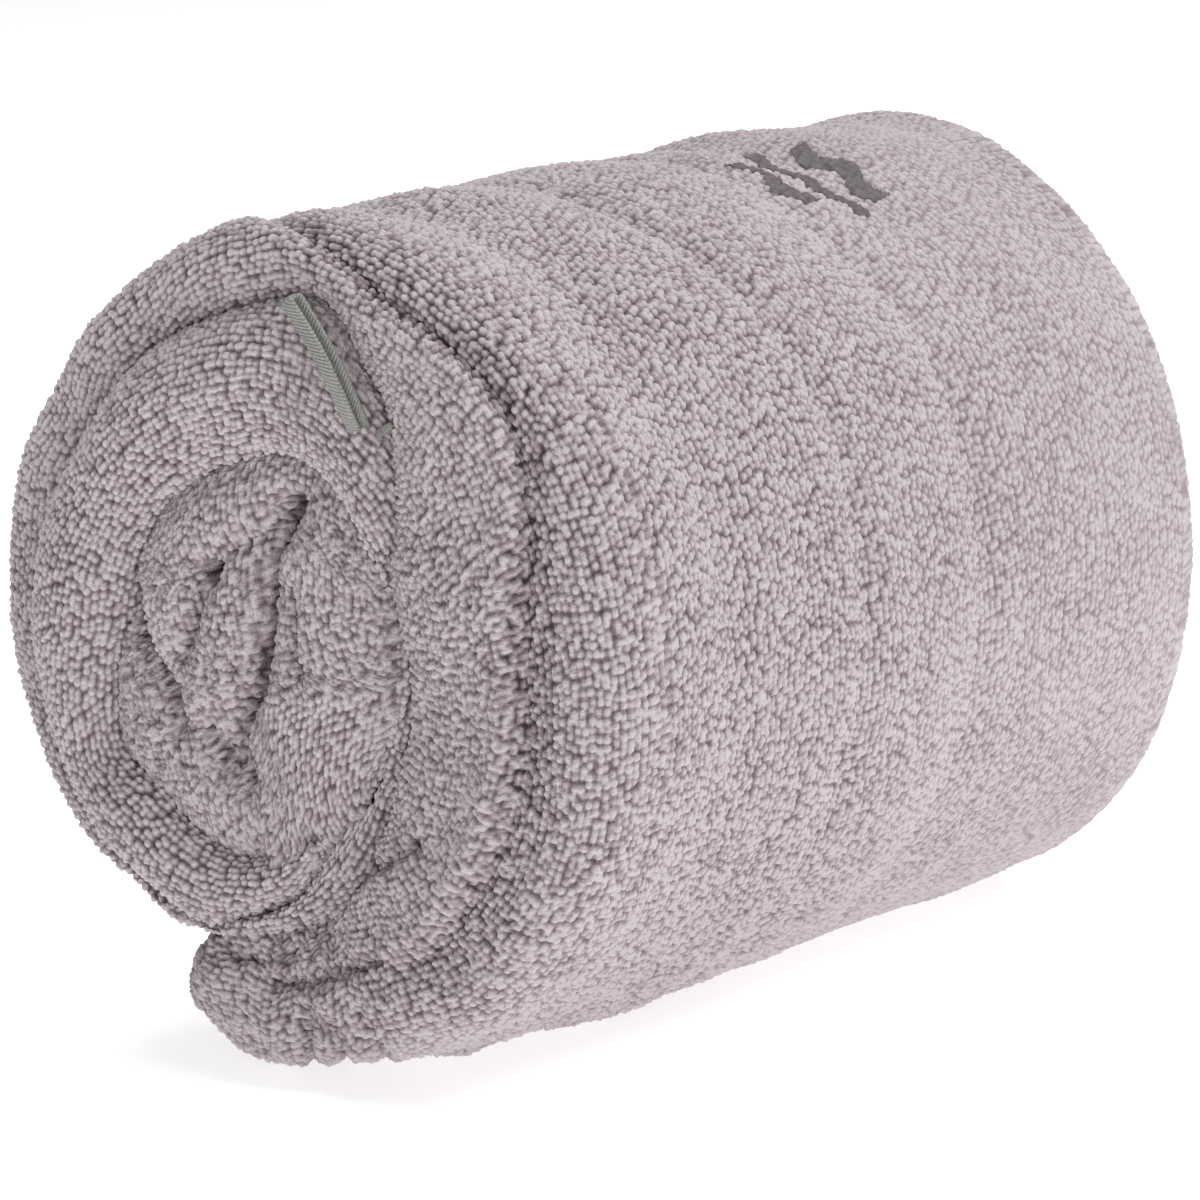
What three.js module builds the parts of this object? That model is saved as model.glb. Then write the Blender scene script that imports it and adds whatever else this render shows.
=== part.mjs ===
// A quick dry microfibre terry towel, folded to a strip of eight plies and rolled up.
// Every cloth piece is drawn flat, as the folded strip lies on a table, and is then rolled up.
// Millimetres. The roll's axis is X, its near end is at -X, and it rests on the plane z = 0.
import * as THREE from 'three';

// Driving dimensions
const rollLength = 150;         // the folded strip's width, along the roll's axis
const plyThickness = 2.25;      // one ply of terry, squeezed in the roll
const plyCount = 8;             // 1200 x 600 folded once across and twice along
const turnGap = 0.3;            // between one turn and the next
const seamGap = 0.3;            // between pieces that meet end to end
const restingSag = 3.2;         // how far the roll's own weight flattens its underside
const stripLength = 600;        // from the tip of the free end to the innermost edge
const coreRadius = 11.25;       // of the strip's middle, at its innermost edge
const freeEndLength = 14;       // lies flat on the floor beyond the roll's lowest line
const hemWidth = 8;             // overlocked edge of the cloth
const beadChamfer = 4;          // where the folded cloth rounds over at the roll's ends
const loopCordWidth = 2.9;      // the hanging loop's flat cord, across
const loopCordHeight = 2.2;     // and through
const loopReach = 23;           // from the bar tacks to the loop's bend
const loopTurnAngle = 138;      // where round the roll the loop is sewn, from the lowest line
const loopInset = 5.6;          // how far inside the outer turn's crease it is sewn
const loopLean = 28.5;          // degrees that the loop leans from upright
const barTackLength = 5;
const barTackWidth = 1.2;
const barTackHeight = 1;
const markCentre = 23;          // the printed mark's place along the roll
const markPitch = 7.5;          // between its strokes, along the roll
const markStrokeWidth = 2.4;
const markTurnAngle = 156.5;    // the middle of the mark, round the roll
const markStrokeLengths = [16, 26, 20];
const markThickness = 0.4;
const degreesPerStep = 7.5;     // facets round the roll

// Worked out from them
const thickness = plyThickness * plyCount;
const half = thickness / 2;
const pitch = thickness + turnGap;
const rolledLength = stripLength - freeEndLength;
const midRadius = Math.sqrt(coreRadius ** 2 + (rolledLength * pitch) / Math.PI);
const rollRadius = midRadius + half;
const axisHeight = rollRadius - restingSag;
// The hanging loop lies on the near end, so the cloth sits that much off centre along X.
const nearEnd = (turnGap + loopCordHeight - rollLength) / 2;
const farEnd = nearEnd + rollLength;
const loopSpread = loopCordWidth + turnGap;
const loopRootRadius = rollRadius - (pitch * loopTurnAngle) / 360 - thickness - loopInset;
const rad = THREE.MathUtils.degToRad;
const deg = THREE.MathUtils.radToDeg;

// The spiral's turn angle at a length along the strip, from the roll's lowest line:
// length = midRadius * angle - pitch * angle^2 / (4 * PI)
function angleAt(length) {
  const root = Math.sqrt(midRadius ** 2 - (length * pitch) / Math.PI);
  return deg(((midRadius - root) * 2 * Math.PI) / pitch);
}
const clothEnd = angleAt(rolledLength - hemWidth);
const hemEnd = angleAt(rolledLength);
const rightSide = -(rollRadius - (pitch * 90) / 360);
const leftSide = rollRadius - (pitch * 270) / 360;
const centreShift = -(rightSide + leftSide) / 2;

// How far the floor lifts the underside at y, before the flattening.
function liftAt(y) {
  if (y >= 0) return rollRadius - axisHeight;
  const radius = rollRadius - (pitch * Math.asin(Math.min(1, -y / rollRadius))) / (2 * Math.PI);
  return Math.max(0, Math.sqrt(Math.max(0, radius ** 2 - y ** 2)) - axisHeight);
}

// Puts a point of the strip in the roll: angle is in degrees along the spiral, and minus on the
// free end; out is the distance from the strip's middle, towards the outside of the roll.
function rolled(angle, out) {
  let y = -rad(angle) * midRadius;
  let z = axisHeight - midRadius - out;
  if (angle > 0) {
    const radius = midRadius - (pitch * angle) / 360 + out;
    y = -radius * Math.sin(rad(angle));
    z = axisHeight - radius * Math.cos(rad(angle));
  }
  const lift = liftAt(y);
  if (z < axisHeight) z += (lift * (axisHeight - z)) / (axisHeight + lift);
  return [y + centreShift, z];
}

// A section drawn across the strip (x along the roll, y through the plies) and carried from one
// turn angle to another.
function rollUp(section, from, to) {
  const steps = Math.max(1, Math.ceil((to - from) / degreesPerStep));
  const geometry = new THREE.ExtrudeGeometry(new THREE.Shape(section), {
    depth: to - from, steps, bevelEnabled: false,
  });
  const place = geometry.attributes.position;
  for (let i = 0; i < place.count; i++) {
    const [y, z] = rolled(from + place.getZ(i), place.getY(i));
    place.setXYZ(i, place.getX(i), y, z);
  }
  return outward(geometry);
}

// Turns the faces outwards where the rolling has mirrored the piece.
function outward(geometry) {
  const place = geometry.attributes.position;
  const corner = [new THREE.Vector3(), new THREE.Vector3(), new THREE.Vector3()];
  let volume = 0;
  for (let i = 0; i < place.count; i += 3) {
    corner.forEach((v, k) => v.fromBufferAttribute(place, i + k));
    volume += corner[0].dot(corner[1].clone().cross(corner[2]));
  }
  if (volume < 0) {
    for (let i = 0; i < place.count; i += 3) {
      const [x, y, z] = [place.getX(i), place.getY(i), place.getZ(i)];
      place.setXYZ(i, place.getX(i + 1), place.getY(i + 1), place.getZ(i + 1));
      place.setXYZ(i + 1, x, y, z);
    }
  }
  geometry.deleteAttribute('uv');
  geometry.computeVertexNormals();
  return geometry;
}

const points = (list) => list.map(([x, y]) => new THREE.Vector2(x, y));

// The strip's section: eight plies, rounded over at both ends of the roll, with the inner half
// stopping short at the far end, where the cloth's hems lie.
function stripSection() {
  const c = beadChamfer;
  const notch = farEnd - hemWidth - seamGap;
  return points([
    [nearEnd + c, -half], [notch, -half], [notch, 0], [farEnd, 0], [farEnd, half - c],
    [farEnd - c, half], [nearEnd + c, half], [nearEnd, half - c], [nearEnd, c - half],
  ]);
}

// Two of the four inner plies' hems, which lie on each other.
function hemSection(lowPly) {
  const low = (lowPly - 1) * plyThickness - half + (lowPly > 1 ? turnGap / 2 : 0);
  const high = (lowPly + 1) * plyThickness - half - turnGap;
  return points([[farEnd - hemWidth, low], [farEnd, low], [farEnd, high],
    [farEnd - hemWidth, high]]);
}

// The cloth's short edge, which runs back and forth through four of the eight plies: straight
// runs joined by half circles at the roll's ends.
function shortHemSection(plies) {
  const centre = (ply) => (ply - (plyCount + 1) / 2) * plyThickness;
  const wall = (plyThickness - turnGap) / 2;
  const arcSteps = 8;
  const [first, second, third, fourth] = plies.map(centre);
  const nearBend = nearEnd + half;
  const farBend = farEnd - (centre(8) - centre(5)) / 2 - wall;
  const line = [[farEnd, first]];
  const bend = (x, from, to, side) => {
    const middle = (from + to) / 2;
    const radius = (to - from) / 2;
    for (let i = 0; i <= arcSteps; i++) {
      const a = (i * Math.PI) / arcSteps;
      const reach = side * Math.abs(radius);
      line.push([x + reach * Math.sin(a), middle - radius * Math.cos(a)]);
    }
  };
  bend(nearBend, first, second, -1);
  bend(farBend, second, third, 1);
  bend(nearBend, third, fourth, -1);
  line.push([farEnd, fourth]);
  const sides = [1, -1].map((side) => line.map(([x, y], i) => {
    const [ax, ay] = line[Math.max(0, i - 1)];
    const [bx, by] = line[Math.min(line.length - 1, i + 1)];
    const length = Math.hypot(bx - ax, by - ay);
    return [x - (side * wall * (by - ay)) / length, y + (side * wall * (bx - ax)) / length];
  }));
  return points([...sides[0], ...sides[1].reverse()]);
}

// The hanging loop: a flat cord that leaves one bar tack, bends round and comes back to the other.
const loopRoot = (() => {
  const [y, z] = rolled(loopTurnAngle, loopRootRadius + (pitch * loopTurnAngle) / 360 - midRadius);
  return new THREE.Vector3(nearEnd - turnGap - loopCordHeight / 2, y, z);
})();
const loopDirection = new THREE.Vector3(0, Math.sin(rad(loopLean)), Math.cos(rad(loopLean)));
const loopSideways = new THREE.Vector3(0, -loopDirection.z, loopDirection.y);

function hangLoopGeometry() {
  const spread = loopSpread / 2;
  const at = (along, side) => loopRoot.clone()
    .addScaledVector(loopDirection, along).addScaledVector(loopSideways, side);
  const path = new THREE.CurvePath();
  const shoulder = loopReach - spread;
  path.add(new THREE.LineCurve3(at(0, -spread), at(shoulder, -spread)));
  const k = spread * 4 / 3;
  path.add(new THREE.CubicBezierCurve3(at(shoulder, -spread), at(shoulder + k, -spread),
    at(shoulder + k, spread), at(shoulder, spread)));
  path.add(new THREE.LineCurve3(at(shoulder, spread), at(0, spread)));
  const section = new THREE.Shape();
  section.absellipse(0, 0, loopCordHeight / 2, loopCordWidth / 2, 0, 2 * Math.PI);
  const geometry = new THREE.ExtrudeGeometry(section, {
    steps: 40, curveSegments: 5, extrudePath: path, bevelEnabled: false,
  });
  return outward(geometry);
}

function barTackGeometry(side) {
  const tack = new THREE.BoxGeometry(barTackHeight, barTackLength, barTackWidth);
  tack.rotateX(Math.atan2(loopSideways.z, loopSideways.y));
  const clear = barTackWidth / 2 + seamGap;
  const middle = loopRoot.clone().addScaledVector(loopDirection, -clear)
    .addScaledVector(loopSideways, side * (barTackLength + seamGap) / 2);
  middle.x = nearEnd - turnGap - barTackHeight / 2;
  tack.translate(middle.x, middle.y, middle.z);
  return tack;
}

// One stroke of the printed mark, a film laid round the outer turn.
function markGeometry(index) {
  const x = markCentre + (index - (markStrokeLengths.length - 1) / 2) * markPitch;
  const low = half + turnGap;
  const sweep = deg(markStrokeLengths[index] / rollRadius);
  return rollUp(points([
    [x - markStrokeWidth / 2, low], [x + markStrokeWidth / 2, low],
    [x + markStrokeWidth / 2, low + markThickness], [x - markStrokeWidth / 2, low + markThickness],
  ]), markTurnAngle - sweep / 2, markTurnAngle + sweep / 2);
}

const cloth = { color: 0xaaa0a2, roughness: 0.95, metalness: 0 };
const hemCloth = { color: 0x9c9294, roughness: 0.9, metalness: 0 };
const cord = { color: 0x9da09b, roughness: 0.7, metalness: 0 };
const print = { color: 0x5d5657, roughness: 0.5, metalness: 0 };

const towel = new THREE.Group();
function add(name, geometry, finish) {
  const mesh = new THREE.Mesh(geometry, new THREE.MeshStandardMaterial(finish));
  mesh.name = name;
  towel.add(mesh);
}

const seamAngle = deg(seamGap / midRadius);
const freeEndAngle = -deg(freeEndLength / midRadius);
const turns = [['outer_turn', 0, 360], ['inner_turn', 360, 720], ['core_turn', 720, clothEnd]];
for (const [name, from, to] of turns) {
  add(name, rollUp(stripSection(), from, to - (to === clothEnd ? 0 : seamAngle)), cloth);
}
add('free_end', rollUp(stripSection(), freeEndAngle, -seamAngle), cloth);
add('long_hem_inner', rollUp(hemSection(1), 0, clothEnd), hemCloth);
add('long_hem_outer', rollUp(hemSection(3), 0, clothEnd), hemCloth);
add('free_end_hem_inner', rollUp(hemSection(1), freeEndAngle, -seamAngle), hemCloth);
add('free_end_hem_outer', rollUp(hemSection(3), freeEndAngle, -seamAngle), hemCloth);
const hemStart = clothEnd + deg(seamGap / (midRadius - (pitch * clothEnd) / 360));
add('short_hem_start', rollUp(shortHemSection([1, 8, 5, 4]), hemStart, hemEnd), hemCloth);
add('short_hem_end', rollUp(shortHemSection([2, 7, 6, 3]), hemStart, hemEnd), hemCloth);
add('hang_loop', hangLoopGeometry(), cord);
add('loop_tack_left', barTackGeometry(1), cord);
add('loop_tack_right', barTackGeometry(-1), cord);
markStrokeLengths.forEach((_, i) => add(`print_stroke_${i + 1}`, markGeometry(i), print));

export default towel;
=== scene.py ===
"""A quick dry microfibre towel, folded to a strip of eight plies and rolled up, with its hanging
loop. Lengths inside the functions are millimetres; the meshes are in metres. Turn angles are
degrees round the roll from its lowest line, up the -Y side, and on inwards along the spiral."""
import math

import bpy
import numpy as np
from mathutils import Matrix, Vector


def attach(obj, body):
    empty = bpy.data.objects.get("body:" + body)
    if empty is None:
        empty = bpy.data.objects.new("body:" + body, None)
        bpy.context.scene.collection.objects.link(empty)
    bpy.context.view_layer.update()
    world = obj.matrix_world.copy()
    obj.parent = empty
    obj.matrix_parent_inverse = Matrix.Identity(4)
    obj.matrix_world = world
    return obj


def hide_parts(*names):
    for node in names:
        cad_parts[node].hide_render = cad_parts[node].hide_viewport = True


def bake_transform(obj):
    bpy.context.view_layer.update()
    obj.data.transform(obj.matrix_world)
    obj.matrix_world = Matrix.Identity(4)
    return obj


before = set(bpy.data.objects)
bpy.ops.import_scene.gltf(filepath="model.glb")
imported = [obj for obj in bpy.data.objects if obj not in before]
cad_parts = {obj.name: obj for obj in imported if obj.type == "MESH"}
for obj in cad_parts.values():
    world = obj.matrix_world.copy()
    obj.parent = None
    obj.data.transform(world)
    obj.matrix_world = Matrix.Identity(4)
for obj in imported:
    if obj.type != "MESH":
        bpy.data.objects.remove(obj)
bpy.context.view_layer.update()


# ---- Pile of the outer turns --------------------------------------------------------------------
# The looped face of the terry cloth on the outer turn, as it goes over the near folds of the
# plies, along the side and over the far folds. One grid runs down the whole spiral; it is cut
# where the free end starts, and the rest of the turn is six pieces.
near_y, near_z = 5.4, 61.1  # middle of the roll at its near end
far_y, far_z = 4.35, 64.3  # and at its far end
tail_radius = 60.0  # turns a length of the flat free end into a turn angle
end_place, end_lean = -76.3, 0.118  # the near end: x = end_place - end_lean * y
# The turn angle, then the radius of the strip's outer edge at the near end, measured point by
# point. At the far end it is an even spiral.
near_angles, near_radii = np.array([
    (-60, 60.0), (0, 60.0), (20, 60.8), (45, 61.8), (70, 61.7), (90, 61.3), (115, 61.6),
    (135, 62.6), (155, 63.4), (172, 62.8), (186, 60.6), (207, 57.6), (230, 55.8), (248, 54.8),
    (259, 54.3), (277, 54.3), (298, 52.0), (320, 46.0), (339, 41.0), (352, 39.6), (362, 38.4),
    (372, 36.8), (381, 34.0), (388, 30.4), (399, 26.2), (420, 21.8), (459, 20.8), (478, 24.0),
    (492, 33.0), (502, 39.8), (507, 43.0), (512, 44.9), (517, 47.6), (522, 52.6), (526, 54.6),
    (535, 52.0), (544, 49.6), (558, 47.9), (570, 46.6), (585, 44.2), (600, 43.8), (650, 43.4),
    (702, 42.0), (712, 37.0), (726, 32.5),
    (740, 25.6), (759, 21.8), (780, 20.6), (803, 20.4), (817, 20.8), (831, 22.6), (844, 25.0),
    (856, 27.4), (875, 30.6), (889, 30.5), (910, 28.2), (944, 25.8), (980, 25.4), (1006, 29.0),
    (1017, 31.0), (1035, 28.6),
    (1060, 29.5), (1080, 28.0), (1100, 25.6), (1300, 20.0)]).T


def eased(x, xs, ys, width=5):
    """Straight lines through (xs, ys), averaged over width either side of x."""
    fine = np.arange(xs[0] - 60.0, xs[-1] + 61.0)
    window = np.hanning(2 * width + 3)[1:-1]
    line = np.convolve(np.interp(fine, xs, ys), window / window.sum(), "same")
    return np.interp(x, fine[30:-30], line[30:-30])


def step(x, start, end):
    """0 before start, 1 after end, 3t^2 - 2t^3 between."""
    t = np.clip((x - start) / (end - start), 0, 1)
    return t * t * (3 - 2 * t)


def edge_of_strip(angle, x):
    """The strip's outer face at a turn angle and a place along the roll: a point of the near
    end's curve and one of the far end's spiral, mixed by the place along the roll."""
    turned = np.radians(np.maximum(angle, 0))
    out = np.radians(np.maximum(-angle, 0)) * tail_radius
    near_r = eased(angle, near_angles, near_radii)
    far_r = 67.9 - 18.3 * np.maximum(angle, 0) / 360
    far = step(x, -74, -25)
    near_r_y, near_r_z = near_r * np.sin(turned), near_r * np.cos(turned)
    y = (1 - far) * (near_y - near_r_y) + far * (far_y - 0.95 * far_r * np.sin(turned))
    z = (1 - far) * (near_z - near_r_z) + far * (far_z - 0.984 * far_r * np.cos(turned))
    low = z - 0.6
    z = 0.6 + (low + np.sqrt(low * low + 6)) / 2
    return y + out, z


def in_strip(angle, depth, x):
    """A point of the strip: depth 0 is its inner face and 1 its outer, mixed between the two
    faces. Past the lowest line the strip lies flat and its blunt end rounds over."""
    y_out, z_out = edge_of_strip(angle, x)
    y_in, z_in = edge_of_strip(angle + 360, x)
    flat = angle < 0
    out = np.radians(np.maximum(-angle, 0)) * tail_radius
    y_flat, z_top = edge_of_strip(np.zeros_like(angle) + 360, x)
    y_in = np.where(flat, y_flat + 1.4 * out, y_in)
    z_in = np.where(flat, z_top + 0.12 * out * (1 - step(x, -74, -25)), z_in)
    round_over = np.clip(1 - (np.clip(out - 5.0, 0, 9) / 7.0) ** 3, 0, 1) ** (1 / 3)
    middle_y, middle_z = (y_out + y_in) / 2, (z_out + z_in) / 2
    share = (depth - 0.5) * np.where(flat, round_over, 1)
    return middle_y + share * (y_out - y_in), middle_z + share * (z_out - z_in)


def near_end(angle, y):
    """Where the near end of the turns lies along the roll: a leaning plane, with the outer turn
    set back at the left and the top, as the turns have slid on each other."""
    back = eased(angle, *np.array([
        (-60, 0), (60, 1.5), (100, 2.0), (140, 3.0), (155, 4.5), (170, 6.5), (207, 6.0), (230, 7.5),
        (280, 8.0), (300, 7.0), (320, 5.0), (339, 3.0), (355, 1.5), (375, 3.0), (395, 7.0),
        (468, 8.0), (490, 3.0), (515, 1.0), (560, 0.0), (690, 0.0), (740, 2.0)]).T, 8)
    return end_place - end_lean * y + back


def swell(a, b, size, seed):
    """Slow random waves, about 0 and up to 1 high: a table of random heights, size apart, joined
    by smooth steps both ways."""
    table = np.random.default_rng(seed).uniform(-1, 1, (256, 256))
    i, j = np.floor(a / size).astype(int), np.floor(b / size).astype(int)
    u, v = step(a / size - i, 0, 1), step(b / size - j, 0, 1)
    i, j = i & 255, j & 255
    i1, j1 = (i + 1) & 255, (j + 1) & 255
    return ((1 - u) * ((1 - v) * table[i, j] + v * table[i, j1])
            + u * ((1 - v) * table[i1, j] + v * table[i1, j1]))


def outward(points):
    """Unit normals of a grid of points: the slope along a row crossed with that down a column."""
    n = np.cross(np.gradient(points, axis=1), np.gradient(points, axis=0))
    return n / np.maximum(np.linalg.norm(n, axis=2, keepdims=True), 1e-9)


def path_across(points, start):
    """Length across each row of the grid, 0 at column start."""
    steps = np.linalg.norm(np.diff(points, axis=1), axis=2)
    b = np.concatenate([np.zeros((len(points), 1)), np.cumsum(steps, axis=1)], axis=1)
    return b - b[:, start:start + 1]


loop_pitch_along, loop_pitch_across, loop_height = 1.28, 1.08, 1.05
loop_places = np.random.default_rng(7).uniform(-1, 1, (128, 512, 3))


def pile(points, b):
    """Height of the pile, 0 to 1, at a grid of points whose place across is b. A loop of pile is
    exp(-d^2.8), where d is the distance from its own middle in loop sizes; the middles are a
    pitch apart in staggered rows, moved a little at random, and the highest loop counts."""
    steps = np.linalg.norm(np.diff(points, axis=0, append=points[-1:]), axis=2)
    first = int(np.floor(b.min() / loop_pitch_across)) - 1
    last = int(np.floor(b.max() / loop_pitch_across)) + 1
    rows = np.arange(first, last + 1)
    speed = np.array([np.interp((rows + 0.5) * loop_pitch_across, b[j], steps[j])
                      for j in range(len(b))])
    along = np.cumsum(speed, axis=0)
    own = np.floor(b / loop_pitch_across).astype(int)
    j = np.arange(len(b))[:, None]
    best = np.zeros_like(b)
    for across in (-1, 0, 1):
        k = own + across
        a = along[j, np.clip(k - first, 0, len(rows) - 1)] / loop_pitch_along + 0.5 * (k & 1)
        m = np.floor(a).astype(int)
        for next_along in (-1, 0, 1):
            place = loop_places[k & 127, (m + next_along) & 511]
            da = a - m - next_along - 0.5 - 0.27 * place[..., 0]
            db = b / loop_pitch_across - k - 0.5 - 0.22 * place[..., 1]
            d2 = ((da / 0.53) ** 2 + (db / 0.51) ** 2) * (1 + 0.20 * place[..., 0])
            best = np.maximum(best, (0.80 + 0.20 * place[..., 2]) * np.exp(-d2 ** 1.4))
    return best


def mesh_of_grid(name, points, keep=None, **values):
    """A mesh of the grid's squares, or of those that keep marks, with a value at each point."""
    rows, columns = points.shape[:2]
    number = np.arange(rows * columns).reshape(rows, columns)
    quads = np.stack([number[:-1, :-1], number[:-1, 1:], number[1:, 1:], number[1:, :-1]], axis=2)
    quads = quads.reshape(-1, 4) if keep is None else quads[keep]
    used, quads = np.unique(quads, return_inverse=True)
    mesh = bpy.data.meshes.new(name)
    mesh.vertices.add(len(used))
    mesh.vertices.foreach_set("co", (points.reshape(-1, 3)[used] / 1000).astype(np.float32).ravel())
    mesh.loops.add(quads.size)
    mesh.loops.foreach_set("vertex_index", quads.astype(np.int32).ravel())
    mesh.polygons.add(quads.size // 4)
    mesh.polygons.foreach_set("loop_start", np.arange(0, quads.size, 4, dtype=np.int32))
    mesh.update(calc_edges=True)
    for key, value in values.items():
        layer = mesh.attributes.new(key, "FLOAT", "POINT")
        layer.data.foreach_set("value", value.reshape(-1)[used].astype(np.float32))
    thing = bpy.data.objects.new(name, mesh)
    bpy.context.scene.collection.objects.link(thing)
    return thing


def srgb(text):
    """Linear colour of an sRGB hex colour."""
    c = [int(text[i:i + 2], 16) / 255 for i in (1, 3, 5)]
    return [v / 12.92 if v <= 0.04045 else ((v + 0.055) / 1.055) ** 2.4 for v in c] + [1]


def add(tree, kind, settings=None, links=None):
    """Adds a node, sets its settings and sockets, and links its sockets from other nodes'."""
    node = tree.nodes.new("ShaderNode" + kind)
    for key, value in (settings or {}).items():
        if isinstance(key, str) and hasattr(node, key):
            setattr(node, key, value)
        else:
            node.inputs[key].default_value = value
    for key, source in (links or {}).items():
        tree.links.new(source, node.inputs[key])
    return node


def material(name, **settings):
    """A new material with its Principled shader's sockets set."""
    made = bpy.data.materials.new(name)
    made.use_nodes = True
    shader = made.node_tree.nodes["Principled BSDF"]
    for key, value in settings.items():
        shader.inputs[key.replace("_", " ")].default_value = value
    return made, made.node_tree, shader


# Microfibre terry, mauve grey: looped pile, matt and slightly velvety. Its colour follows the
# pile's height, with painted shade in the gaps between the loops, which are darker than the loops'
# tips, and fine fibres stand on each loop. The noises are one over their size in metres: fibres
# 0.4 mm, lumps 1 mm, and patches of paler and darker cloth 17 mm.
terry, tree, shader = material("microfibre terry pile", Roughness=0.95, Sheen_Weight=0.25,
                               Sheen_Roughness=0.5, Sheen_Tint=srgb("#E8DDE0"))
place = add(tree, "TexCoord").outputs["Object"]
height = add(tree, "Attribute", {"attribute_name": "pile"}).outputs["Fac"]
fibre = add(tree, "TexNoise", {"Scale": 2600.0, "Detail": 3.0}, {"Vector": place}).outputs["Fac"]
patch = add(tree, "TexNoise", {"Scale": 60.0, "Detail": 4.0}, {"Vector": place}).outputs["Fac"]
shade = add(tree, "Math", {"operation": "MULTIPLY_ADD", 1: 0.38}, {0: fibre, 2: height}).outputs[0]
shade = add(tree, "Math", {"operation": "MULTIPLY_ADD", 1: 0.25}, {0: patch, 2: shade}).outputs[0]
# The ramp's dark end is painted shade: it colours the gaps between the loops, and the creases and
# pits where the pile value is lowered.
ramp = add(tree, "ValToRGB", links={"Fac": shade})
ramp.color_ramp.elements[0].position, ramp.color_ramp.elements[0].color = 0.32, srgb("#3E3034")
ramp.color_ramp.elements[1].position, ramp.color_ramp.elements[1].color = 1.0, srgb("#CCC3C6")
middle = ramp.color_ramp.elements.new(0.68)
middle.color = srgb("#9F9195")
lumps = add(tree, "TexNoise", {"Scale": 950.0, "Detail": 2.0}, {"Vector": place}).outputs["Fac"]
rough = add(tree, "Math", {"operation": "MULTIPLY_ADD", 1: 0.5}, {0: lumps, 2: fibre}).outputs[0]
fuzz = add(tree, "Bump", {"Strength": 0.8, "Distance": 0.0006}, {"Height": rough})
tree.links.new(ramp.outputs["Color"], shader.inputs["Base Color"])
tree.links.new(fuzz.outputs["Normal"], shader.inputs["Normal"])


tail_length = 12.0  # of the flat free end, beyond the roll's lowest line
tip = -np.degrees(tail_length / tail_radius)
from_tip = np.concatenate([2 * np.linspace(0, 1, 25)[:-1] ** 3, np.arange(2, tail_length, 0.36)])
angles = np.concatenate([tip * (1 - from_tip / tail_length), np.arange(0, 420, 0.36)])
near_columns, side_columns, far_columns = 112, 384, 36


def near_fold(angle, u):
    """The folded plies at the near end, u from 0 in the crease to 1 on the outer side: the place
    along the roll is depth * (1 - sin(pi u)^0.75) behind the end, the depth in the strip
    ((1 - cos(pi u)) / 2)^lean."""
    inner_depth = eased(angle, *np.array([(-60, 7), (60, 7), (190, 6), (220, 3), (330, 3),
                                          (360, 6), (380, 5), (460, 5), (500, 7), (740, 7)]).T)
    outer_depth = eased(angle, *np.array([(-60, 8), (20, 9), (60, 13), (120, 13), (160, 9),
                                          (200, 6), (240, 5), (340, 5), (360, 7), (510, 7),
                                          (540, 12), (580, 14), (680, 13), (705, 8), (740, 7)]).T)
    lean = eased(angle, *np.array([(-60, 1), (20, 0.9), (60, 0.6), (120, 0.6), (160, 0.8),
                                   (220, 1), (740, 1)]).T)
    rise = 1 - np.abs(np.sin(np.pi * u)) ** 0.75
    depth = ((1 - np.cos(np.pi * u)) / 2) ** lean
    behind = np.where(u < 0.5, inner_depth, outer_depth) * rise
    for _ in range(2):
        y, z = in_strip(angle, depth, -76 + behind)
        x = near_end(angle, y) + behind
    y, z = in_strip(angle, depth, x)
    return np.stack([x, y, z], axis=-1)


def far_fold(angle, u):
    """The far end, u from 0 on the outer side to 1 in the crease: one round fold over the outer
    half of the strip, then a step back to the plies' hemmed edges on the inner half."""
    depth = 1 - u
    fold = np.sqrt(np.clip(1 - ((np.clip(depth, 0.5, 1) - 0.75) / 0.25) ** 2, 0, 1))
    y, z = in_strip(angle, depth, np.full_like(u, 60.0))
    end = 74.0 + 0.114 * y - 1.2 + 1.2 * np.sin(np.radians(angle * 0.9))
    x = end - np.where(depth > 0.5, 5.0 * (1 - fold), 5.0)
    return np.stack([x, y, z], axis=-1)


def whole_section(angle):
    """Near fold, side and far fold at each turn angle, as one grid of points."""
    near = near_fold(angle[:, None], np.linspace(0, 1, near_columns + 1)[None])
    far = far_fold(angle[:, None], np.linspace(0, 1, far_columns + 1)[None])
    t = np.linspace(0, 1, side_columns + 1)[None]
    x = near[:, -1:, 0] * (1 - t) + far[:, :1, 0] * t
    y, z = in_strip(angle[:, None], np.ones_like(x), x)
    side = np.stack([x, y, z], axis=-1)
    return np.concatenate([near[:, :-1], side, far[:, 1:]], axis=1)


def distance_to(y, z, line):
    """Shortest distance from (y, z) to a line of points."""
    best = np.full(y.shape, 1e9)
    for (ay, az), (by, bz) in zip(line[:-1], line[1:]):
        t = np.clip(((y - ay) * (by - ay) + (z - az) * (bz - az))
                    / ((by - ay) ** 2 + (bz - az) ** 2), 0, 1)
        best = np.minimum(best, np.hypot(y - ay - t * (by - ay), z - az - t * (bz - az)))
    return best


near_creases = [  # (y, z) along each crease of the free end's near fold, then its depth and width
    ([(-4, 28.5), (-8, 31.0), (-12.6, 33.5), (-18.7, 35.7), (-22.9, 38.4)], 2.3, 1.3),
    ([(4, 16.0), (-3.3, 16.8), (-6.9, 18.0), (-15.3, 21.3)], 2.0, 1.2),
    ([(13, 19.5), (6, 19.0), (0, 21.5)], 1.1, 1.2),
    ([(-1.5, 13), (-1.0, 7), (-2.5, 2)], 1.5, 1.0),
    ([(-6.5, 12), (-7.5, 6), (-9.0, 2)], 1.6, 1.1),
    ([(-12, 14), (-14.5, 8), (-16.0, 3)], 1.2, 1.3)]


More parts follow.
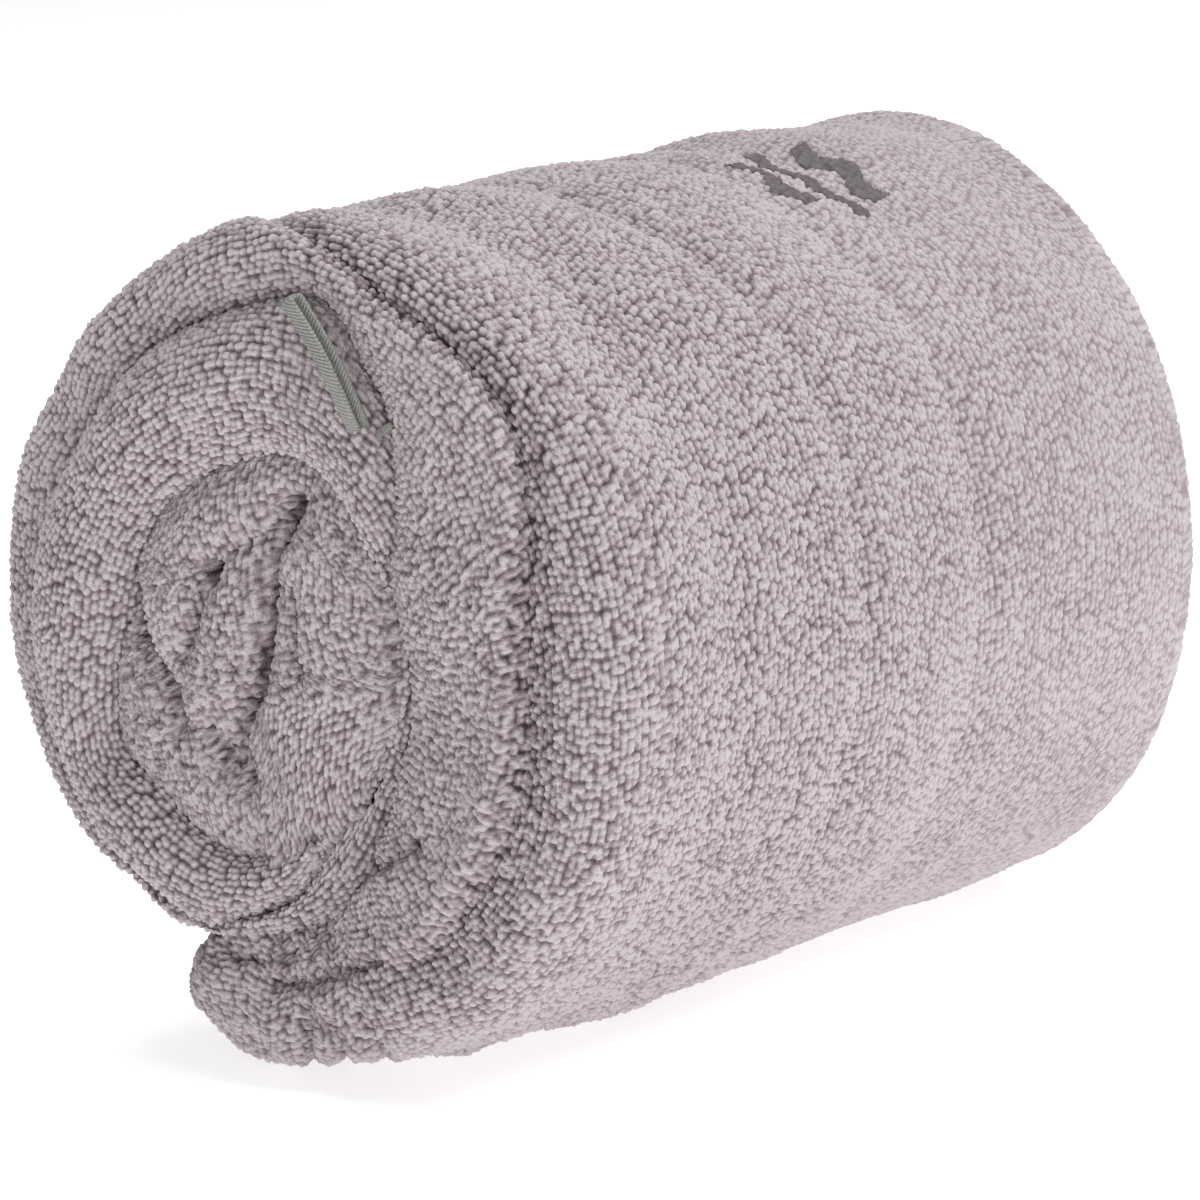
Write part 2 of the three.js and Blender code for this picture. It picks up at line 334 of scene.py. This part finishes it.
def creased(points, b):
    """The soft creases and hollows of the outer face: waves that run round the roll, strongest
    near its near end, four bands that go right round, gathers at the free end's tip, and a groove
    behind the near fold's ridge. The ridge's line is a radius round the middle of the near end,
    seen square on to the roll's corner. Also gives how deep each point lies in a groove or hollow,
    which darkens the pile's colour there as painted shade."""
    angle = angles[:len(points), None]
    waves = 1.5 * swell(angle * 0.25, b, 14, 3) + 0.8 * swell(angle * 0.6, b, 8, 4)
    waves *= 0.45 + 0.55 * np.exp(-np.clip(b - 5, 0, 200) / 60)
    for middle, wide, deep in ((42, 3.0, 1.6), (70, 3.2, 1.4), (86, 4.5, 0.6), (122, 7, 1.1)):
        bend = middle + 3 * swell(angle * 0.5, 0 * b + middle, 30, 9)
        fainter = 0.7 + 0.5 * swell(angle, b * 0 + 5, 40, 8)
        waves -= deep * np.exp(-((b - bend) / wide) ** 2) * fainter
    waves *= 0.25 + 0.75 * step(angle, -6, 14)
    behind = points[..., 0] - (end_place - end_lean * points[..., 1])
    y, z = points[..., 1] - 0.99 * behind - near_y, points[..., 2] + 0.29 * behind - near_z
    r, seen = np.hypot(y, z), np.degrees(np.arctan2(-y, -z)) % 360
    ridge = eased(seen, *np.array([
        (0, 45), (44, 45.5), (59, 46.2), (93, 46.0), (106, 49.5), (116, 55.0), (122, 59.2),
        (128, 61.9), (136, 61.6), (148, 59.6), (154, 60.2), (158, 61.8), (166, 64.2), (180, 66),
        (360, 66)]).T, 4)
    strength = eased(seen, *np.array([
        (0, 0), (15, 0), (40, 1.2), (95, 1.4), (116, 1.5), (135, 1.8), (155, 2.0), (168, 1.3),
        (178, 0.4), (190, 0), (360, 0)]).T, 7)
    late = 20 * (1 - step(seen, 112, 134))
    strength = strength * (angle < 200) * (1 - step(points[..., 0] - late, -66, -56))
    groove = -strength * np.exp(-((r - ridge - 2.4) / 1.8) ** 2)
    fuller = 1 + 1.1 * (1 - step(seen, 112, 134))
    hollow = -0.5 * strength * fuller * np.exp(-((r - ridge - 5.5) / 3.8) ** 2)
    lip = 0.45 * strength * fuller ** 0.5 * np.exp(-((r - ridge + 0.8) / 2.0) ** 2)
    near_part = (points[..., 0] < -58) & (angle < 150)
    for line, deep, wide in near_creases:
        away = distance_to(y + near_y, z + near_z, line)
        groove -= deep * near_part * np.exp(-(away / wide) ** 2)
    gathers = 1.1 * swell(angle * 1.05, b, 4.5, 12)
    gathers *= (1 - step(angle, 12, 34)) * (1 - step(b, 4, 40))
    crease_shade_depth = np.clip(-groove - hollow, 0, 3)
    return points + outward(points) * (waves + groove + hollow + lip + gathers)[..., None], crease_shade_depth


def with_pile(points, b):
    """The points moved out by the pile's height, which grows more even towards the far end, and
    flattened where they meet the floor."""
    calm = 0.4 * step(points[..., 0], -50, 60)
    high = pile(points, b) * (1 - calm) + 0.6 * calm
    out = points + outward(points) * (loop_height * high - 0.35)[..., None]
    out[..., 2] = np.maximum(out[..., 2], 0)
    return out, high


grid = whole_section(angles)
grid, crease_shade_depth = creased(grid, path_across(grid, near_columns))
face, face_height = with_pile(grid, path_across(grid, near_columns))
# Painted shade: the pile's colour is darkened where the grooves and hollows sink in.
face_height -= 0.09 * crease_shade_depth
start_of_wrap, end_of_wrap = (int(np.searchsorted(angles, a)) for a in (31, 375))
cuts = np.linspace(start_of_wrap, end_of_wrap, 7).astype(int)
for number, (a, b) in enumerate(zip(cuts[:-1], cuts[1:])):
    part = mesh_of_grid(f"outer_turn_pile_{number + 1}", face[a:b + 1], pile=face_height[a:b + 1])
    part.data.materials.append(terry)
    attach(part, "roll")

# ---- Pile of the inner turn's near fold ---------------------------------------------------------
# The same terry on the second turn of the spiral, from where it goes in behind the outer one.
# Only its near fold shows, so only that is made.
part = mesh_of_grid("inner_turn_start_pile", face[end_of_wrap:, :near_columns + 1],
                    pile=face_height[end_of_wrap:, :near_columns + 1])
part.data.materials.append(terry)
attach(part, "roll")
ring_angles = np.arange(angles[-1], 739, 0.5)
ring = near_fold(ring_angles[:, None], np.linspace(0, 1, near_columns + 1)[None])
ring_across = path_across(ring, 0)
ring = ring + outward(ring) * (0.8 * swell(ring_angles[:, None] * 0.5, ring_across, 8, 5))[..., None]
ring_face, ring_height = with_pile(ring, ring_across)
part = mesh_of_grid("inner_turn_near_pile", ring_face, pile=ring_height)
part.data.materials.append(terry)
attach(part, "roll")

# ---- Pile of the core's near end ----------------------------------------------------------------
# The innermost turns, squeezed by the rolling into one rounded lump of folds. Its terry is one
# dome with a groove along each crease and a pit where three folds meet; the pile's colour is
# darkened along the grooves and in the pits as painted shade.
core_creases = [  # (y, z) along each crease, then its depth and width
    ([(-2.5, 84.0), (0.5, 79), (2.3, 75.9), (2.4, 71.4), (3.4, 66.4), (4.6, 61.4), (5.6, 58.1),
      (7.5, 55.6), (9.3, 52.5), (9.8, 50.1), (9.0, 45)], 7.2, 2.0),
    ([(-2.4, 72.5), (-3.0, 69.7), (-2.6, 66.8), (-2.1, 63.5), (-3.3, 61.0)], 3.3, 1.2),
    ([(12.3, 74.4), (13.6, 71.5), (14.4, 69.4), (15.8, 65.6), (18.0, 62)], 3.6, 1.5),
    ([(27.9, 69.9), (26.5, 64.3), (23.2, 59.5), (20.7, 57.0), (20.0, 52)], 5.1, 1.6),
    ([(14.5, 51.5), (12.0, 47.0)], 3.75, 1.3),
    ([(12.3, 74.4), (8.5, 77.5), (3, 80), (-2.5, 84.0)], 2.7, 2.0)]
core_pits = [(12.3, 74.4), (-2.5, 84.0), (-18.5, 76.0)]


def core_end(a, b):
    """The core's near end over a square grid, a and b from -1 to 1, bent to a disc by
    (a sqrt(1 - b^2 / 2), b sqrt(1 - a^2 / 2)) and stretched to the crease round the core. It is a
    low dome that falls back by 1 - sqrt(1 - u^5), u from 0 in the middle to 1 at the edge, and
    each crease is a groove depth * exp(-d / width), each pit 6 exp(-(d / 1.25)^2)."""
    left, high = -a * np.sqrt(1 - b * b / 2), b * np.sqrt(1 - a * a / 2)
    u = np.clip(np.hypot(left, high), 0, 1)
    radius = eased(np.degrees(np.arctan2(-left, -high)) % 360 + 720, near_angles, near_radii)
    y, z = near_y + (radius + 1.2) * left, near_z + (radius + 1.2) * high
    x = end_place - end_lean * y + 1.0 + 7.5 * (1 - np.sqrt(np.clip(1 - u ** 5, 0, 1)))
    for line, deep, wide in core_creases:
        x += deep * np.exp(-np.sqrt(distance_to(y, z, line) ** 2 + 0.1) / wide)
    for py, pz in core_pits:
        x += 6.0 * np.exp(-((y - py) ** 2 + (z - pz) ** 2) / 1.25 ** 2)
    return np.stack([x, y, z], axis=-1)


square = np.linspace(-1, 1, 141)
core = core_end(square[None] + 0 * square[:, None], square[:, None] + 0 * square[None])
core_face, core_height = with_pile(core, path_across(core, 70))
# Painted shade: the pile's colour is darkened along each crease and in each pit.
for line, deep, wide in core_creases:
    core_height -= 0.06 * deep * np.exp(-distance_to(core[..., 1], core[..., 2], line) / 0.9)
for py, pz in core_pits:
    away = np.hypot(core[..., 1] - py, core[..., 2] - pz)
    core_height -= 1.2 * np.exp(-(away / 1.0) ** 2)
part = mesh_of_grid("core_near_pile", core_face, pile=core_height)
part.data.materials.append(terry)
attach(part, "roll")

# ---- Pile of the inner turns' far fold ----------------------------------------------------------
# The same terry where the inner turns' plies fold over at the far end, on to the core.
far_angles = np.arange(angles[end_of_wrap], 921, 0.8)
far = far_fold(far_angles[:, None], np.linspace(0, 1, far_columns + 1)[None])
far_face, far_height = with_pile(far, path_across(far, 0) + 150)
part = mesh_of_grid("inner_turns_far_pile", far_face, pile=far_height)
part.data.materials.append(terry)
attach(part, "roll")

# ---- The free end's pile ------------------------------------------------------------------------
# The last few centimetres of the strip, which lie on the floor beyond the roll: the same face as
# the outer turn's, closed over the top.
top_columns = 150
rows = start_of_wrap + 1
t = np.linspace(0, 1, top_columns + 1)[None]
x = grid[:rows, -1:, 0] * (1 - t) + grid[:rows, :1, 0] * t
y, z = in_strip(angles[:rows, None], np.zeros_like(x), x)
top = np.stack([x, y, z], axis=-1)
top[:, 0], top[:, -1] = grid[:rows, -1], grid[:rows, 0]
top_face, top_height = with_pile(top, path_across(top, 0))
fade = step(t[0], 0, 0.007) * step(1 - t[0], 0, 0.007)
top_face = top_face * fade[None, :, None] + top * (1 - fade[None, :, None])
top_face[:, 0], top_face[:, -1] = face[:rows, -1], face[:rows, 0]
part = mesh_of_grid("free_end_pile", np.concatenate([face[:rows], top_face[:, 1:]], axis=1),
                    pile=np.concatenate([face_height[:rows], top_height[:, 1:]], axis=1))
part.data.materials.append(terry)
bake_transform(part)
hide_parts("free_end")
for node in ("outer_turn", "inner_turn", "core_turn"):
    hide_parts(node)

# ---- The folded cloth ---------------------------------------------------------------------------
# The towel itself: 600 x 1200 mm of cloth, folded across at the free end into two layers, then
# twice along into eight plies, and rolled up. The pile above is its outer face.
strip_length, cut_at = 598.0, 50.0
turn_table = np.arange(0, 1200.0)
length_table = tail_length + np.cumsum(np.radians(1) * 0.967 * (67.9 - 18.3 * turn_table / 360 - 9))


def folded_layer(plies, bends):
    """Place along the roll and depth in the strip across one layer's four plies: straight runs
    joined by half ellipses, whose reach beyond the runs is given."""
    x, depth = [], []
    for number, ply in enumerate(plies):
        run = np.linspace(-1, 1, 30) if number % 2 else np.linspace(1, -1, 30)
        x.append(62 * run)
        depth.append(np.full(30, (ply - 0.5) / 8))
        if number < 3:
            half_turn = np.linspace(0, np.pi, 9)[1:-1]
            middle, half = (plies[number + 1] + ply - 1) / 16, (plies[number + 1] - ply) / 16
            x.append((1 if number % 2 else -1) * (62 + bends[number] * np.sin(half_turn)))
            depth.append(middle - half * np.cos(half_turn))
    return np.concatenate(x), np.concatenate(depth)


def rolled_cloth(lengths, x, depth):
    """Points of one layer at each length along the strip from the free end's tip."""
    angle = np.where(lengths < tail_length, -np.degrees((tail_length - lengths) / tail_radius),
                     np.interp(lengths, length_table, turn_table))[:, None]
    depth = 0.5 + 0.68 * (depth - 0.5)
    back = 9 * step(angle, 360, 420) * (x < 0)
    shape = np.maximum(x, -20 + 0 * x) * step(angle, 300, 380) + x * (1 - step(angle, 300, 380))
    y, z = in_strip(angle, 0 * angle + depth, shape)
    return np.stack([x + back + 0 * angle, y, z], axis=-1)


layer_a = folded_layer((1, 8, 5, 4), (6.0, 4.0, 1.5))
layer_b = folded_layer((2, 7, 6, 3), (4.5, 1.5, 2.8))
for name, lengths in (("rolled", np.arange(cut_at, strip_length, 4.5)),
                      ("free", np.arange(3.0, cut_at + 1, 4.5))):
    first, second = (rolled_cloth(lengths, *layer) for layer in (layer_a, layer_b))
    both = np.concatenate([first[::-1], second])
    keep = np.ones((len(both) - 1, both.shape[1] - 1), bool)
    keep[len(first) - 1] = name == "free"
    part = mesh_of_grid(f"folded_cloth_{name}", both, keep)
    part.data.materials.append(terry)
    if name == "rolled":
        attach(part, "roll")
    else:
        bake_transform(part)

# ---- Hems ---------------------------------------------------------------------------------------
# The cloth's long edges, at the far end of plies 1 to 4, overlocked with thread every 2.5 mm, and
# its two short edges, which end in the core.
# Polyester overlock thread round the cloth's edges, the towel's own grey, half matt.
thread, tree, shader = material("overlock thread", Roughness=0.7, Sheen_Weight=0.2,
                                Base_Color=srgb("#988B90"))
place = add(tree, "TexCoord").outputs["Object"]
strand = add(tree, "TexNoise", {"Scale": 1800.0, "Detail": 2.0}, {"Vector": place}).outputs["Fac"]
ramp = add(tree, "ValToRGB", links={"Fac": strand})
ramp.color_ramp.elements[0].position, ramp.color_ramp.elements[0].color = 0.3, srgb("#7B6E73")
ramp.color_ramp.elements[1].position, ramp.color_ramp.elements[1].color = 0.75, srgb("#AC9FA4")
bump = add(tree, "Bump", {"Strength": 0.4, "Distance": 0.0003}, {"Height": strand})
tree.links.new(ramp.outputs["Color"], shader.inputs["Base Color"])
tree.links.new(bump.outputs["Normal"], shader.inputs["Normal"])

round_hem = np.linspace(0, 2 * np.pi, 15)


def hem_edge(angle, ply):
    """A flat oval 7.2 mm wide and 2 mm thick along the spiral, with a ridge for each stitch."""
    y, z = in_strip(angle, np.full_like(angle, 0.25), np.full_like(angle, 60.0))
    end = 74.0 + 0.114 * y - 1.2 + 1.2 * np.sin(np.radians(angle * 0.9)) - 4.4
    along = np.interp(np.maximum(angle, 0), turn_table, length_table)
    along = along - tail_radius * np.radians(np.maximum(-angle, 0))
    ridge = 1 + 0.14 * np.abs(np.sin(np.pi * along / 2.5 + round_hem))
    x = end + 3.6 * np.cos(round_hem) * (0.9 + 0.1 * ridge)
    depth = (ply - 0.5) / 8 + 0.055 * ridge * np.sin(round_hem)
    y, z = in_strip(angle + 0 * round_hem, depth, np.full_like(x, 60.0))
    return np.stack([x, y, z], axis=-1)


def tubes(name, grids, finish):
    """One mesh of several tubes, each a grid that closes on itself across."""
    joined = np.concatenate(grids)
    keep = np.ones((len(joined) - 1, joined.shape[1] - 1), bool)
    keep[np.cumsum([len(g) for g in grids])[:-1] - 1] = False
    part = mesh_of_grid(name, joined, keep)
    part.data.materials.append(finish)
    return part


hem_angles = np.arange(33, 915, 0.9)[:, None]
hems = [tubes("long_hems", [hem_edge(hem_angles, ply) for ply in (1, 2, 3, 4)], thread)]
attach(hems[0], "roll")
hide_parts("long_hem_inner", "long_hem_outer")
hem_angles = np.arange(-7, 33.1, 0.9)[:, None]
free_hem = tubes("free_end_hems", [hem_edge(hem_angles, ply) for ply in (1, 2, 3, 4)], thread)
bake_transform(free_hem)
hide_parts("free_end_hem_inner", "free_end_hem_outer")


def short_edge(x, ply):
    """The same oval along the roll, at the innermost end of a ply."""
    ridge = 1 + 0.14 * np.abs(np.sin(np.pi * x / 2.5 + round_hem))
    y, z = in_strip(914 + 8.5 * np.cos(round_hem) * ridge,
                    (ply - 0.5) / 8 + 0.055 * ridge * np.sin(round_hem), np.full_like(ridge, 10.0))
    return np.stack([x + 0 * ridge, y, z], axis=-1)


for name, plies in (("short_hem_start", (1, 8, 5, 4)), ("short_hem_end", (2, 7, 6, 3))):
    part = tubes(name + "_stitched",
                 [short_edge(np.linspace(-50, 66, 190)[:, None], ply) for ply in plies], thread)
    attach(part, "roll")
    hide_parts(name)
    hems.append(part)

# ---- Hanging loop -------------------------------------------------------------------------------
# A flat satin cord, 2.5 mm wide, folded in two. Both ends go down into the crease, where two bar
# tacks of the same thread sew them to the cloth.
# Satin cord of the hanging loop, grey green, with slanting threads 0.6 mm apart, and 0.45 mm on
# its tacks.
satin, tree, shader = material("satin loop cord", Roughness=0.5, Sheen_Weight=0.05,
                               Base_Color=srgb("#9EA29C"))
slant = add(tree, "Attribute", {"attribute_name": "slant"}).outputs["Fac"]
lines = add(tree, "Math", {"operation": "SINE"}, {0: slant}).outputs[0]
place = add(tree, "TexCoord").outputs["Object"]
strand = add(tree, "TexNoise", {"Scale": 2500.0, "Detail": 2.0}, {"Vector": place}).outputs["Fac"]
ramp = add(tree, "ValToRGB", links={"Fac": add(
    tree, "Math", {"operation": "MULTIPLY_ADD", 1: 0.22}, {0: lines, 2: strand}).outputs[0]})
ramp.color_ramp.elements[0].position, ramp.color_ramp.elements[0].color = 0.25, srgb("#7A7A76")
ramp.color_ramp.elements[1].position, ramp.color_ramp.elements[1].color = 0.8, srgb("#A09F9A")
bump = add(tree, "Bump", {"Strength": 0.5, "Distance": 0.0002}, {"Height": lines})
tree.links.new(ramp.outputs["Color"], shader.inputs["Base Color"])
tree.links.new(bump.outputs["Normal"], shader.inputs["Normal"])

root, bend = np.array([-19.4, 94.6]), np.array([-9.9, 113.2])
lean = (bend - root) / np.linalg.norm(bend - root)
beside = np.array([-lean[1], lean[0]])


def cord_round(path, side, wide, thick, thread_gap):
    """A tube with a rounded flat section: superellipse cos^0.8, sin^0.8 of the given half width
    and thickness, along the path, with its threads' slant counted round and along it."""
    v = np.linspace(0, 2 * np.pi, 25)[None]
    c, n = np.cos(v), np.sin(v)
    c, n = np.sign(c) * np.abs(c) ** 0.8, np.sign(n) * np.abs(n) ** 0.8
    along = np.cumsum(np.linalg.norm(np.diff(path, axis=0, prepend=path[:1]), axis=1))[:, None]
    slant = 2 * np.pi * (along / thread_gap + 1.6 * c)
    face = np.gradient(path, axis=0)
    face /= np.linalg.norm(face, axis=1, keepdims=True)
    up = np.cross(face, side)
    points = (path[:, None] + wide * c[..., None] * side[:, None]
              + thick * n[..., None] * up[:, None] * (1 + 0.03 * np.sin(slant))[..., None])
    return points, slant


t = np.linspace(-1, 1, 141)
leg = np.abs(t)
along = np.where(leg > 0.1, 20.9 * (1 - leg) / 0.9, 20.9 + 0.9 * np.sqrt(
    np.clip(1 - (leg / 0.1) ** 2, 0, 1)))
layer = 0.72 * np.sign(t) * np.sqrt(1 - (1 - np.clip(leg / 0.1, 0, 1)) ** 2)
bulge = np.sin(np.pi * np.clip(along / 21, 0, 1))
flat = root + lean * along[:, None] + beside * (0.3 * layer + bulge)[:, None]
behind = 3.0 * np.clip(1 - along / 11, 0, 1) ** 1.5 + 4.0 * np.clip(1 - along / 4, 0, 1) ** 2
x = end_place - end_lean * flat[:, 0] + 0.2 + layer + behind
path = np.column_stack([x, flat[:, 0] + 0.8 * behind, flat[:, 1] - 0.25 * behind])
side = np.tile(np.concatenate([[0], beside]), (141, 1))
points, slant = cord_round(path, side, 1.25, 0.45, 0.6)
hang_loop = mesh_of_grid("loop_cord", points, slant=slant)
hang_loop.data.materials.append(satin)
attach(hang_loop, "hang_loop")
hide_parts("hang_loop")
for name, deep in (("loop_tack_left", 5.0), ("loop_tack_right", 6.2)):
    ends = np.linspace(-2.2, 2.2, 45)[:, None]
    middle = np.concatenate([[end_place - end_lean * root[0] + deep], root + lean * 0.8])
    path = middle + ends * np.concatenate([[0], beside])
    side = np.tile(np.concatenate([[0], lean]), (45, 1))
    size = np.sqrt(np.clip(1 - (ends / 2.25) ** 6, 0.02, 1))
    points, slant = cord_round(path, side, 0.6, 0.42, 0.45)
    points = path[:, None] + (points - path[:, None]) * size[:, None]
    tack = mesh_of_grid(name + "_stitches", points, slant=slant)
    tack.data.materials.append(satin)
    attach(tack, "roll")
    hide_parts(name)

# ---- Printed mark -------------------------------------------------------------------------------
# Three short wavy bars of dark film, pressed on the pile on the upper part of the side, in the
# far half of the roll. They follow the loops and lie 0.12 mm above them.
# Dark grey print film on top of the pile, darker in the gaps between loops as painted shade.
film, tree, shader = material("dark print film", Roughness=0.6)
height = add(tree, "Attribute", {"attribute_name": "pile"}).outputs["Fac"]
place = add(tree, "TexCoord").outputs["Object"]
strand = add(tree, "TexNoise", {"Scale": 1500.0, "Detail": 3.0}, {"Vector": place}).outputs["Fac"]
ramp = add(tree, "ValToRGB", links={"Fac": add(
    tree, "Math", {"operation": "MULTIPLY_ADD", 1: 0.5}, {0: strand, 2: height}).outputs[0]})
ramp.color_ramp.elements[0].position, ramp.color_ramp.elements[0].color = 0.3, srgb("#3E3939")
ramp.color_ramp.elements[1].position, ramp.color_ramp.elements[1].color = 1.2, srgb("#6E6666")
tree.links.new(ramp.outputs["Color"], shader.inputs["Base Color"])

for number, (middle_x, long) in enumerate([(15.5, 16), (23.0, 26), (30.5, 20)]):
    a = (angles[:, None] - 156.5) * 1.07
    wave = middle_x + 1.1 * np.sin(a * 0.55 + number)
    inside = (np.abs(grid[..., 0] - wave) < 1.7) & (np.abs(a) < long / 2)
    inside[:, :near_columns] = False
    keep = inside[:-1, :-1]
    lifted = face + outward(face) * 0.12
    part = mesh_of_grid(f"print_bar_{number + 1}", lifted, keep, pile=face_height)
    part.data.materials.append(film)
    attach(part, "roll")
    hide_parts(f"print_stroke_{number + 1}")

# ---- Floor, light and camera --------------------------------------------------------------------
bpy.ops.mesh.primitive_plane_add(size=8, location=(0, 0, 0))
floor = bpy.context.object
floor.name = "floor"
paper, tree, shader = material("white paper floor", Roughness=0.9, Base_Color=srgb("#F4F3F4"),
                               Emission_Color=(1, 1, 1, 1), Emission_Strength=0.62)
floor.data.materials.append(paper)

bpy.context.scene.view_settings.view_transform = "Standard"
world = bpy.data.worlds.new("studio")
bpy.context.scene.world = world
world.use_nodes = True
world.node_tree.nodes["Background"].inputs["Color"].default_value = (1, 1, 1, 1)
world.node_tree.nodes["Background"].inputs["Strength"].default_value = 0.23


def softbox(name, place, size, power):
    """A square area light at place, in metres, facing the roll."""
    light = bpy.data.lights.new(name, "AREA")
    light.energy, light.size = power, size
    thing = bpy.data.objects.new(name, light)
    thing.location = place
    thing.rotation_euler = (Vector((0, 0, 0.06)) - Vector(place)).to_track_quat("-Z", "Y").to_euler()
    bpy.context.scene.collection.objects.link(thing)


softbox("key light", (1.1, -1.3, 1.5), 0.8, 22)
softbox("top light", (0.1, 0.2, 1.8), 1.0, 18)
softbox("low fill", (-0.8, -0.9, 0.2), 0.5, 4.0)

turn, up_angle, roll = (math.radians(v) for v in (-46.4, 11.082, 4.263))
right = Vector((math.cos(turn), math.sin(turn), 0))
back = Vector((math.sin(turn) * math.cos(up_angle), -math.cos(turn) * math.cos(up_angle),
               math.sin(up_angle)))
up = back.cross(right)
across_view = right * math.cos(roll) - up * math.sin(roll)
up_view = right * math.sin(roll) + up * math.cos(roll)
camera = bpy.data.objects.new("camera", bpy.data.cameras.new("camera"))
camera.data.sensor_width, camera.data.lens = 36, 154.7
camera.data.clip_start, camera.data.clip_end = 0.05, 50
bpy.context.scene.collection.objects.link(camera)
turned = Matrix((across_view, up_view, back)).transposed().to_4x4()
turned.translation = (-0.55339, -0.51869, 0.20579)
camera.matrix_world = turned
bpy.context.scene.camera = camera
